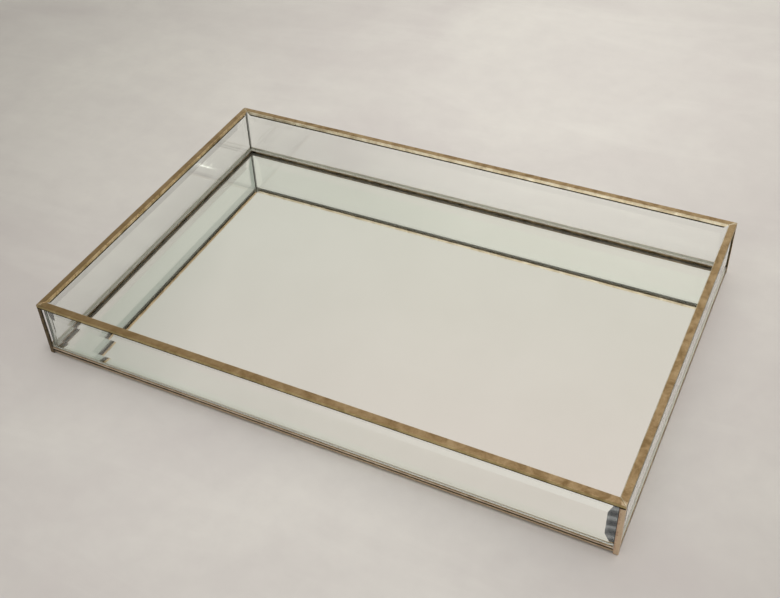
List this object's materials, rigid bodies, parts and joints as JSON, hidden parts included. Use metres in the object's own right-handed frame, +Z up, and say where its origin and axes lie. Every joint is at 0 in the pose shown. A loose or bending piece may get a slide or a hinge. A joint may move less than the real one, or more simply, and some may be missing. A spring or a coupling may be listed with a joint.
{
  "type": "vanity tray",
  "caption": "Rectangular dresser tray with a mirror base and low walls of clear bevelled glass framed in slim antique-brass channel with upright corner angles.",
  "frame": {"origin": "middle of the footprint, on the surface the tray stands on", "axes": "+X along the long sides, +Y from the front long side to the back one, +Z up"},
  "size_m": [0.381, 0.254, 0.0417],
  "materials": {
    "antique_brass": "dull, brown-toned, lightly rubbed on the edges",
    "solder": "soft solder toned to match the brass",
    "clear_glass": "polished, faint green cast, bevelled edges",
    "mirror": "silvered behind clear glass",
    "tan_felt": "short-napped felt"
  },
  "bodies": {
    "root": {"top_rail_front": "antique_brass", "top_rail_right": "antique_brass", "top_rail_back": "antique_brass", "top_rail_left": "antique_brass", "bottom_rail_front": "antique_brass", "bottom_rail_right": "antique_brass", "bottom_rail_back": "antique_brass", "bottom_rail_left": "antique_brass", "corner_angle_front_left": "antique_brass", "corner_angle_front_right": "antique_brass", "corner_angle_back_right": "antique_brass", "corner_angle_back_left": "antique_brass", "glass_front": "clear_glass", "glass_right": "clear_glass", "glass_back": "clear_glass", "glass_left": "clear_glass", "mirror_glass": "mirror", "felt_base": "tan_felt", "solder_bottom_front_left": "solder", "solder_bottom_front_right": "solder", "solder_bottom_back_right": "solder", "solder_bottom_back_left": "solder", "solder_top_front_left": "solder", "solder_top_front_right": "solder", "solder_top_back_right": "solder", "solder_top_back_left": "solder"}
  },
  "joints": []
}
